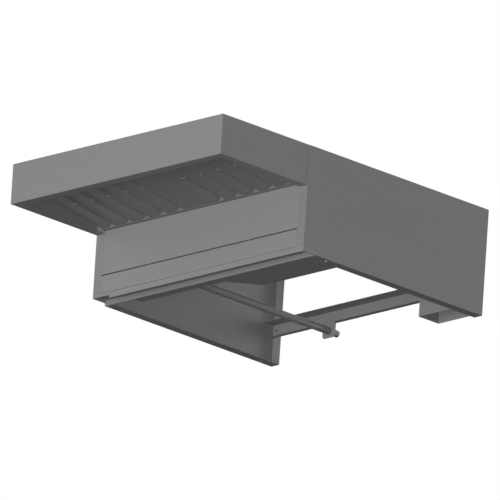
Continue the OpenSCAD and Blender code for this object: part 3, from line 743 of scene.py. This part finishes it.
def make_bolts():
    """Bolts of the canopy, and the one of the rear channel."""
    low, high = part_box("canopy_bolts")
    sheets = []
    for x in (low.x + BOLT_CORNER, high.x - BOLT_CORNER):
        for z in (low.z + BOLT_FLAT, high.z - BOLT_FLAT):
            sheets += hex_bolt(x, z, low.y, high.y, high.y - BOLT_TALL)
    add_piece("hex_bolts_canopy", grid_mesh("canopy_bolts", sheets), "canopy_bolts")
    middle, low, high = box_middle("channel_bolts")
    sheets = hex_bolt(middle.x, middle.z, low.y, high.y, high.y - BOLT_TALL)
    add_piece("hex_bolt_channel", grid_mesh("channel_bolts", sheets), "channel_bolts")


def make_drain_pipe():
    """Drain pipe: its wall, with rounded lips and a shoulder for the hose, turned about Y."""
    middle, low, high = box_middle("drain_pipe")
    outer = (high.x - low.x) / 2
    inner = outer - PIPE_WALL
    hose = outer - HOSE_STEP
    seat = high.y - HOSE_LENGTH
    wall = softened([(inner, low.y), (outer, low.y), (outer, seat), (hose, seat), (hose, high.y),
                     (inner, high.y)], PIPE_LIPS)
    pipe = turned(wall, (middle.x, 0, middle.z), "Y", 64)
    add_piece("drain_tube", grid_mesh("drain_pipe", [pipe]), "drain_pipe")


def make_collar():
    """Spun collar: a flanged wall turned about Z, both of whose sides swell by the square of a
    cosine at the bead."""
    middle, low, high = box_middle("duct_collar")
    flange = (high.x - low.x) / 2
    inner = COLLAR_R - COLLAR_SHEET
    top, foot = high.z, low.z
    height = np.linspace(foot + SHEET + COLLAR_FILLET, top - COLLAR_SHEET / 2, 70)
    bead_z = foot + (top - foot) * COLLAR_BEAD_SHARE
    near = np.clip((height - bead_z) / COLLAR_BEAD_REACH, -1, 1)
    swell = COLLAR_BEAD * np.cos(near * math.pi / 2) ** 2
    outside = np.stack([COLLAR_R + swell, height], 1)
    inside = np.stack([inner + swell, height], 1)[::-1]
    quarter = np.linspace(0, math.pi / 2, 8)
    fillet = np.stack([COLLAR_R + COLLAR_FILLET * (1 - np.sin(quarter)),
                       foot + SHEET + COLLAR_FILLET * (1 - np.cos(quarter))], 1)
    under = COLLAR_FILLET + SHEET
    throat = np.stack([inner + under * (1 - np.cos(quarter)),
                       foot + under * (1 - np.sin(quarter))], 1)
    half = np.linspace(0, math.pi, 9)[1:-1]
    lip = np.stack([COLLAR_R - COLLAR_SHEET / 2 * (1 - np.cos(half)),
                    top - COLLAR_SHEET / 2 * (1 - np.sin(half))], 1)
    rim = np.array([(flange - BURR, foot), (flange, foot + BURR),
                    (flange, foot + SHEET - BURR), (flange - BURR, foot + SHEET)])
    wall = np.concatenate([rim, fillet, outside, lip, inside, throat])
    collar = turned(wall, (middle.x, middle.y, 0), "Z", 128)
    add_piece("spun_collar", grid_mesh("duct_collar", [collar]), "duct_collar")


def washer_screw(centre, axis, shank, scale=1.0):
    """Hexagon head on a washer, with a dished top: outlines turned about the screw's axis."""
    flat = list(centre)
    place = "XYZ".index(axis)
    base = flat[place]
    flat[place] = 0
    washer = softened(np.array(WASHER) * (MM * scale) + (0, base), 0.18 * MM, False)
    head = np.array(SCREW_HEAD) * (MM * scale) + (0, base)
    rod = threaded(SCREW_SHANK * scale, base, base - shank, 1.2 * MM, 0.3 * MM)
    return [turned(washer, flat, axis, 36),
            turned(head, flat, axis, HEX_COLUMNS, hexagon(SCREW_FLAT * scale)),
            turned(rod, flat, axis, 16)]


def make_collar_screws():
    """Screws round the collar's flange, at even turns."""
    middle, low, high = box_middle("collar_screws")
    ring = (high.x - low.x) / 2 - WASHER_R
    foot = high.z - SCREW_TALL
    sheets = []
    for turn in np.arange(COLLAR_SCREWS) * FULL_TURN / COLLAR_SCREWS:
        place = (middle.x + ring * math.cos(turn), middle.y + ring * math.sin(turn), foot)
        sheets += washer_screw(place, "Z", foot - low.z)
    add_piece("washer_screws", grid_mesh("collar_screws", sheets), "collar_screws")


def make_terminal_box():
    """Moulded box and lid: rounded rectangles stacked along Y, which close on middle lines."""
    middle, low, high = box_middle("junction_box")
    x0, x1, z0, z1 = low.x, high.x, low.z, high.z

    def ring(inset, y, radius=BOX_CORNER, flat=1.0):
        corners = [(x0 + inset, z0 + inset), (x1 - inset, z0 + inset), (x1 - inset, z1 - inset),
                   (x0 + inset, z1 - inset)]
        loop = softened(corners, max(radius - inset, BURR), steps=7)
        loop[:, 1] = middle.z + (loop[:, 1] - middle.z) * flat
        return np.stack([loop[:, 0], np.full(len(loop), y), loop[:, 1]], 1)

    wall, floor = BOX_WALL, low.y + BOX_WALL
    hollow = wall + 1 * MM
    shell = [ring(0, low.y, flat=0), ring(0.8 * MM, low.y), ring(0.2 * MM, low.y + BURR),
             ring(0, low.y + 0.9 * MM), ring(0, high.y - BURR), ring(BURR, high.y),
             ring(wall - 0.2 * MM, high.y), ring(wall, high.y - BURR), ring(wall, floor + 1 * MM),
             ring(hollow, floor), ring(hollow, floor, flat=0)]
    add_piece("terminal_box", grid_mesh("junction_box", [np.stack(shell)]), "junction_box")

    lid_low, lid_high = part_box("junction_lid")
    back, top = lid_low.y, lid_high.y
    face = top - LID_PAD
    pad = PAD_INSET + 1.2 * MM
    lid = [ring(0, back, flat=0), ring(BURR, back), ring(0, back + BURR), ring(0, face - 0.5 * MM),
           ring(0.2 * MM, face - 0.1 * MM), ring(0.7 * MM, face), ring(PAD_INSET, face, PAD_CORNER),
           ring(PAD_INSET + 0.6 * MM, face + 0.5 * MM, PAD_CORNER), ring(pad, top, PAD_CORNER),
           ring(pad, top, PAD_CORNER, flat=0)]
    add_piece("terminal_lid", grid_mesh("junction_lid", [np.stack(lid)]), "junction_lid")
    sheets = []
    for x in (x0 + LID_SCREW_INSET, x1 - LID_SCREW_INSET):
        for z in (z0 + LID_SCREW_INSET, z1 - LID_SCREW_INSET):
            sheets += washer_screw((x, face, z), "Y", LID_SCREW_LENGTH, LID_SCREW_SCALE)
    add_piece("lid_screws", grid_mesh("lid_screws", sheets), "junction_lid", FASTENER)


def make_gland():
    """Cable gland: outlines turned about Z. Its body is kept within a hexagon, and its clamping nut
    is ribbed by a cosine wave round the axis and has a domed end."""
    middle, low, high = box_middle("cable_gland")
    centre = (middle.x, middle.y, 0)
    top, foot = high.z, low.z
    join = top - GLAND_BODY_TALL
    bore = GLAND_BORE + 0.6 * MM
    lip = GLAND_BORE + GLAND_SEAL
    body = [(GLAND_BORE, top), (GLAND_CORNER, top), (GLAND_CORNER, join + 0.6 * MM),
            (GLAND_CHAMFER, join), (GLAND_BORE, join)]
    nut = softened([(bore, join), (GLAND_NUT_R, join), (GLAND_NUT_R, foot + 4 * MM),
                    (GLAND_NOSE_R, foot), (bore, foot)],
                   [0.2 * MM, 0.4 * MM, 2.4 * MM, 0.5 * MM, 0.2 * MM])
    seal = softened([(GLAND_BORE, top - 3 * MM), (lip, top - 3 * MM), (lip, foot),
                     (GLAND_BORE, foot)], 0.2 * MM)
    ribs = ribbed(GLAND_RIBS, 0.5 * MM, GLAND_NUT_R - RIB_DEPTH)
    sheets = [turned(body, centre, "Z", HEX_COLUMNS, hexagon(GLAND_FLAT)),
              turned(nut, centre, "Z", GLAND_RIBS * 8, ribs)]
    add_piece("gland_body", grid_mesh("gland_body", sheets), "cable_gland")
    ring = turned(seal, centre, "Z", 48)
    add_piece("gland_seal", grid_mesh("gland_seal", [ring]), "cable_gland", RUBBER)


def make_feet():
    """Rubber feet: an hourglass, whose waist sinks by the sine of the share of its height."""
    middle, low, high = box_middle("fan_feet")
    share = np.linspace(0, 1, 15)
    waist = FOOT_R - FOOT_WAIST * np.sin(share * math.pi)
    side = np.stack([waist, low.z + (high.z - low.z) * share], 1)
    face = FOOT_R - 0.5 * MM
    outline = np.concatenate([[(0, low.z), (face, low.z)], side[1:-1],
                              [(face, high.z), (0, high.z)]])
    spread = (high.x - low.x) / 2 - FOOT_R
    sheets = [turned(outline, (middle.x + a * spread, middle.y + b * spread, 0), "Z", 40)
              for a in (-1, 1) for b in (-1, 1)]
    add_piece("rubber_mounts", grid_mesh("fan_feet", sheets), "fan_feet")


def housing_line(heel, offset, throat):
    """Right wall and spiral of the fan housing from above, at an offset from its inside.

    The radius grows evenly with the turn from the tongue. Returns the line from the throat's right
    end to the tongue, and the place across of the throat's left wall.
    """
    left = heel * math.cos(SCROLL_TONGUE) - offset
    angle = np.linspace(FULL_TURN, math.atan2(throat, left), 110)
    radius = heel + offset + SCROLL_GROW * (angle - SCROLL_TONGUE) / (FULL_TURN - SCROLL_TONGUE)
    spiral = np.stack([radius * np.cos(angle), radius * np.sin(angle)], 1)
    right = np.stack([np.full(12, radius[0]), np.linspace(throat, throat / 12, 12)], 1)
    return np.concatenate([right, spiral]), left


def flat_ring(outline, hole, low, high, place):
    """Sheet with a round hole: rings that go out from the hole below, round the rim and back above.

    Each column keeps its direction from the middle, so a point of the hole's edge is the rim's
    point times the hole's radius over its own distance.
    """
    distance = np.linalg.norm(outline, axis=1)[:, None]
    hole_edge = outline / distance * hole
    inner = outline * (1 - BURR / distance)
    rings = [(hole_edge, low), (inner, low), (outline, low + BURR), (outline, high - BURR),
             (inner, high), (hole_edge, high), (hole_edge, low)]
    return np.stack([place(ring, z) for ring, z in rings])


def make_fan_housing():
    """Spiral housing: a floor and lid that are sheets with a round hole, and a strip on edge."""
    wheel, wheel_low, wheel_high = box_middle("fan_wheel")
    low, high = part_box("fan_scroll")
    place = upright((wheel.x, wheel.y, 0))
    heel = (wheel_high.x - wheel_low.x) / 2 + SCROLL_GAP
    throat = high.y - wheel.y
    line, left = housing_line(heel, SHEET / 2, throat)
    tongue_y = math.sqrt((heel + SHEET / 2) ** 2 - left ** 2)
    tip = softened([line[-1], (left, tongue_y), (left, throat)], TONGUE_BEND, False, 9)
    wall = np.concatenate([line, tip[1:]])
    side = strip_bar(wall, line_normals(wall), SHEET, (low.z + SHEET * 0.9, high.z), place)

    rim, left = housing_line(heel, SHEET, throat)
    across = np.linspace(left, rim[0, 0], 24, endpoint=False)
    rim = np.concatenate([rim, np.stack([across, np.full(24, throat)], 1)])
    floor = flat_ring(rim, SPINDLE_R + SHEET, low.z, low.z + SHEET, place)
    add_piece("spiral_housing", grid_mesh("fan_scroll", [floor, side]), "fan_scroll")
    lid_low, lid_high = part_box("fan_lid")
    inlet_low, inlet_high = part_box("fan_inlet_ring")
    inlet = (inlet_high.x - inlet_low.x) / 2 - INLET_FLARE + CAP_GAP
    lid = flat_ring(rim, inlet, lid_low.z, lid_high.z, place)
    add_piece("housing_lid", grid_mesh("fan_lid", [lid]), "fan_lid")


def make_inlet():
    """Bell mouth: the radius grows from the throat by the square of the share of the height."""
    middle, low, high = box_middle("fan_inlet_ring")
    outer = (high.x - low.x) / 2
    throat = outer - INLET_FLARE
    top, foot = high.z, low.z
    share = np.linspace(0, 1, 12)
    inner = throat - INLET_SHEET + (INLET_FLARE * 0.45) * share ** 2
    inside = np.stack([inner, foot + (top - foot) * share], 1)
    seat = top - 2 * INLET_SHEET
    rim = softened([(outer, seat), (outer, top - INLET_SHEET), (inner[-1] + INLET_SHEET, top)],
                   BURR, False)
    outline = np.concatenate([inside, rim[::-1], [(throat, seat), (throat, foot)]])
    bell = turned(outline, (middle.x, middle.y, 0), "Z", 96)
    add_piece("bell_mouth", grid_mesh("fan_inlet_ring", [bell]), "fan_inlet_ring")


def make_motor():
    """Motor: outlines turned about Z. The flange carries the spindle, and the cup's rim swells and
    sinks by a cosine wave round the axis, as cooling ribs."""
    middle, low, high = box_middle("fan_stator")
    radius = (high.x - low.x) / 2
    centre = (middle.x, middle.y, 0)
    flange = low.z + STATOR_H
    outline = softened([(0, low.z), (radius, low.z), (radius, flange), (SPINDLE_R + 4 * MM, flange),
                        (SPINDLE_R, flange + 4 * MM), (SPINDLE_R, high.z), (0, high.z)],
                       [0, 0.8 * MM, 0.8 * MM, 1.5 * MM, 1.5 * MM, 0.5 * MM, 0], False)
    stator = turned(outline, centre, "Z", 96)
    add_piece("motor_flange", grid_mesh("fan_stator", [stator]), "fan_stator")

    middle, low, high = box_middle("fan_rotor")
    radius = (high.x - low.x) / 2
    bore = SPINDLE_R + 0.05 * MM
    inner = radius - ROTOR_WALL
    ceiling = high.z - ROTOR_WALL
    wall = softened([(bore, low.z), (ROTOR_HUB_R, low.z), (ROTOR_HUB_R, ceiling), (inner, ceiling),
                     (inner, low.z), (radius, low.z), (radius, high.z), (bore, high.z)],
                    [0.4 * MM, 0.6 * MM, 1.5 * MM, 1.5 * MM, 0.6 * MM, 0.6 * MM, 3 * MM, 0.5 * MM])
    ribs = ribbed(ROTOR_RIBS, RIB_DEPTH, radius - 0.2 * MM)
    cup = turned(wall, centre, "Z", ROTOR_RIBS * 8, ribs)
    add_piece("motor_cup", grid_mesh("fan_rotor", [cup]), "fan_rotor")


def make_wheel():
    """Fan wheel: blades whose lean grows with the square of the share from heel to tip, between a
    disc and a ring."""
    middle, low, high = box_middle("fan_wheel")
    centre = np.array((middle.x, middle.y, 0))
    radius = (high.x - low.x) / 2
    share = np.linspace(0, 1, 9)
    reach = radius - BLADE_INSET - (BLADE_DEPTH - BLADE_INSET) * (1 - share)
    lean = BLADE_LEAN * share ** 2
    line = np.stack([reach * np.cos(lean), reach * np.sin(lean)], 1)
    blade = strip_bar(line, line_normals(line), BLADE_SHEET, (low.z + 0.5 * MM, high.z - 0.5 * MM),
                      upright((0, 0, 0)))
    sheets = []
    for turn in np.arange(BLADES) * FULL_TURN / BLADES:
        cos, sin = math.cos(turn), math.sin(turn)
        spin = np.array([[cos, -sin, 0], [sin, cos, 0], [0, 0, 1]])
        sheets.append(blade @ spin.T + centre)
    hub = ROTOR_R + 0.3 * MM
    disc_top, ring_foot = low.z + WHEEL_DISC, high.z - WHEEL_DISC
    disc = softened([(hub, low.z), (radius, low.z), (radius, disc_top), (hub, disc_top)],
                    BLADE_INSET)
    eye = radius - BLADE_DEPTH + 3 * MM
    ring = softened([(eye, ring_foot), (radius, ring_foot), (radius, high.z), (eye, high.z)],
                    BLADE_INSET)
    sheets += [turned(outline, centre, "Z", 120) for outline in (disc, ring)]
    add_piece("bladed_wheel", grid_mesh("fan_wheel", sheets), "fan_wheel")


def make_hinge_pins():
    """Pins of the flap's hinges: rods along X with domed ends."""
    middle, low, high = box_middle("hinge_pins")
    radius = (high.z - low.z) / 2
    sheets = []
    for start in (low.x, high.x - PIN_LENGTH):
        end = start + PIN_LENGTH
        rod = softened([(0, start), (radius, start), (radius, end), (0, end)], BURR, False)
        sheets.append(turned(rod, (0, middle.y, middle.z), "X", 20))
    add_piece("hinge_rods", grid_mesh("hinge_pins", sheets), "hinge_pins")


def dress_nodes():
    """Every CAD node gets its finish, also where a new piece stands for it."""
    for name, node in frame["nodes"].items():
        set_finish(node, NODE_FINISH[name])


def make_camera():
    camera = bpy.data.objects.new("camera", bpy.data.cameras.new("camera"))
    bpy.context.scene.collection.objects.link(camera)
    camera.data.type = "ORTHO"
    camera.data.ortho_scale = VIEW_WIDTH
    turn = (Matrix.Rotation(VIEW_HEADING, 4, "Z") @ Matrix.Rotation(math.pi / 2 + VIEW_RISE, 4, "X")
            @ Matrix.Rotation(VIEW_ROLL, 4, "Z"))
    aim = turn.to_3x3() @ Vector((0, 0, -1))
    camera.matrix_world = Matrix.Translation(VIEW_CENTRE - aim * VIEW_DISTANCE) @ turn
    camera.data.clip_end = VIEW_REACH
    bpy.context.scene.camera = camera


def add_softbox(name, place, size, power, shadow):
    """A large lamp that faces the hood."""
    data = bpy.data.lights.new(name, "AREA")
    data.shape = "RECTANGLE"
    data.size, data.size_y = size
    data.energy = power
    data.use_shadow = shadow
    lamp = bpy.data.objects.new(name, data)
    bpy.context.scene.collection.objects.link(lamp)
    lamp.location = place
    lamp.rotation_euler = (HOOD_MIDDLE - Vector(place)).to_track_quat("-Z", "Y").to_euler()


def make_floor():
    """A plain pale floor, far enough below that the hood's underside shows.

    It is white where it is seen, apart from the hood's shadow, and gives back little light.
    """
    half = FLOOR_HALF
    mesh = bpy.data.meshes.new("floor")
    mesh.from_pydata([(-half, -half, FLOOR_Z), (half, -half, FLOOR_Z), (half, half, FLOOR_Z),
                      (-half, half, FLOOR_Z)], [], [(0, 1, 2, 3)])
    floor = bpy.data.objects.new("floor", mesh)
    bpy.context.scene.collection.objects.link(floor)
    finish = Finish("floor_paint")
    speckle = finish.noise(2.0, 4.0, 0.5)
    colour = finish.shades(speckle, FLOOR_GREY, 0.02)
    dull = finish.shades(speckle, FLOOR_GREY * FLOOR_BOUNCE, 0.04)
    plain = finish.node("BsdfDiffuse", {"Color": colour})
    bounce = finish.node("BsdfDiffuse", {"Color": dull})
    glow = finish.node("Emission", {"Color": grey(1.0), "Strength": FLOOR_GLOW})
    lit = finish.node("AddShader", {0: plain, 1: glow})
    seen = finish.node("LightPath", out="Is Camera Ray")
    surface = finish.node("MixShader", {0: seen, 1: bounce, 2: lit})
    finish.node("OutputMaterial", {"Surface": surface})
    set_finish(floor, finish.owner)


def make_world():
    """White for what is seen or mirrored, and a weaker grey for the light that it gives."""
    world = bpy.data.worlds.new("studio")
    bpy.context.scene.world = world
    finish = Finish("studio", world)
    path = [finish.node("LightPath", out=name)
            for name in ("Is Camera Ray", "Is Glossy Ray", "Is Transmission Ray")]
    seen = (path[0] + path[1] + path[2]).clamped()
    white = finish.node("Background", {"Color": grey(1.0), "Strength": 1.0})
    soft = finish.node("Background", {"Color": grey(1.0), "Strength": AIR_LIGHT})
    mixed = finish.node("MixShader", {0: seen, 1: soft, 2: white})
    finish.node("OutputWorld", {"Surface": mixed})


dress_nodes()
for side in SIDES:
    make_gutters(side)
    make_caps(side)
    make_stays(side)
    make_studs(side)
make_drain_pipe()
make_collar()
make_collar_screws()
make_bolts()
make_terminal_box()
make_gland()
make_hinge_pins()
make_feet()
make_fan_housing()
make_inlet()
make_motor()
make_wheel()
for node in FOLDED_SHEETS:
    folded_from_node(node)
for node in THIN_SHEETS:
    folded_from_node(node, outside=0.4 * MM, inside=0.25 * MM, cut=0.2 * MM, broad=2.4 * MM)
make_camera()
make_floor()
make_world()
for softbox in SOFTBOXES:
    add_softbox(*softbox)
bpy.context.scene.view_settings.view_transform = "Standard"
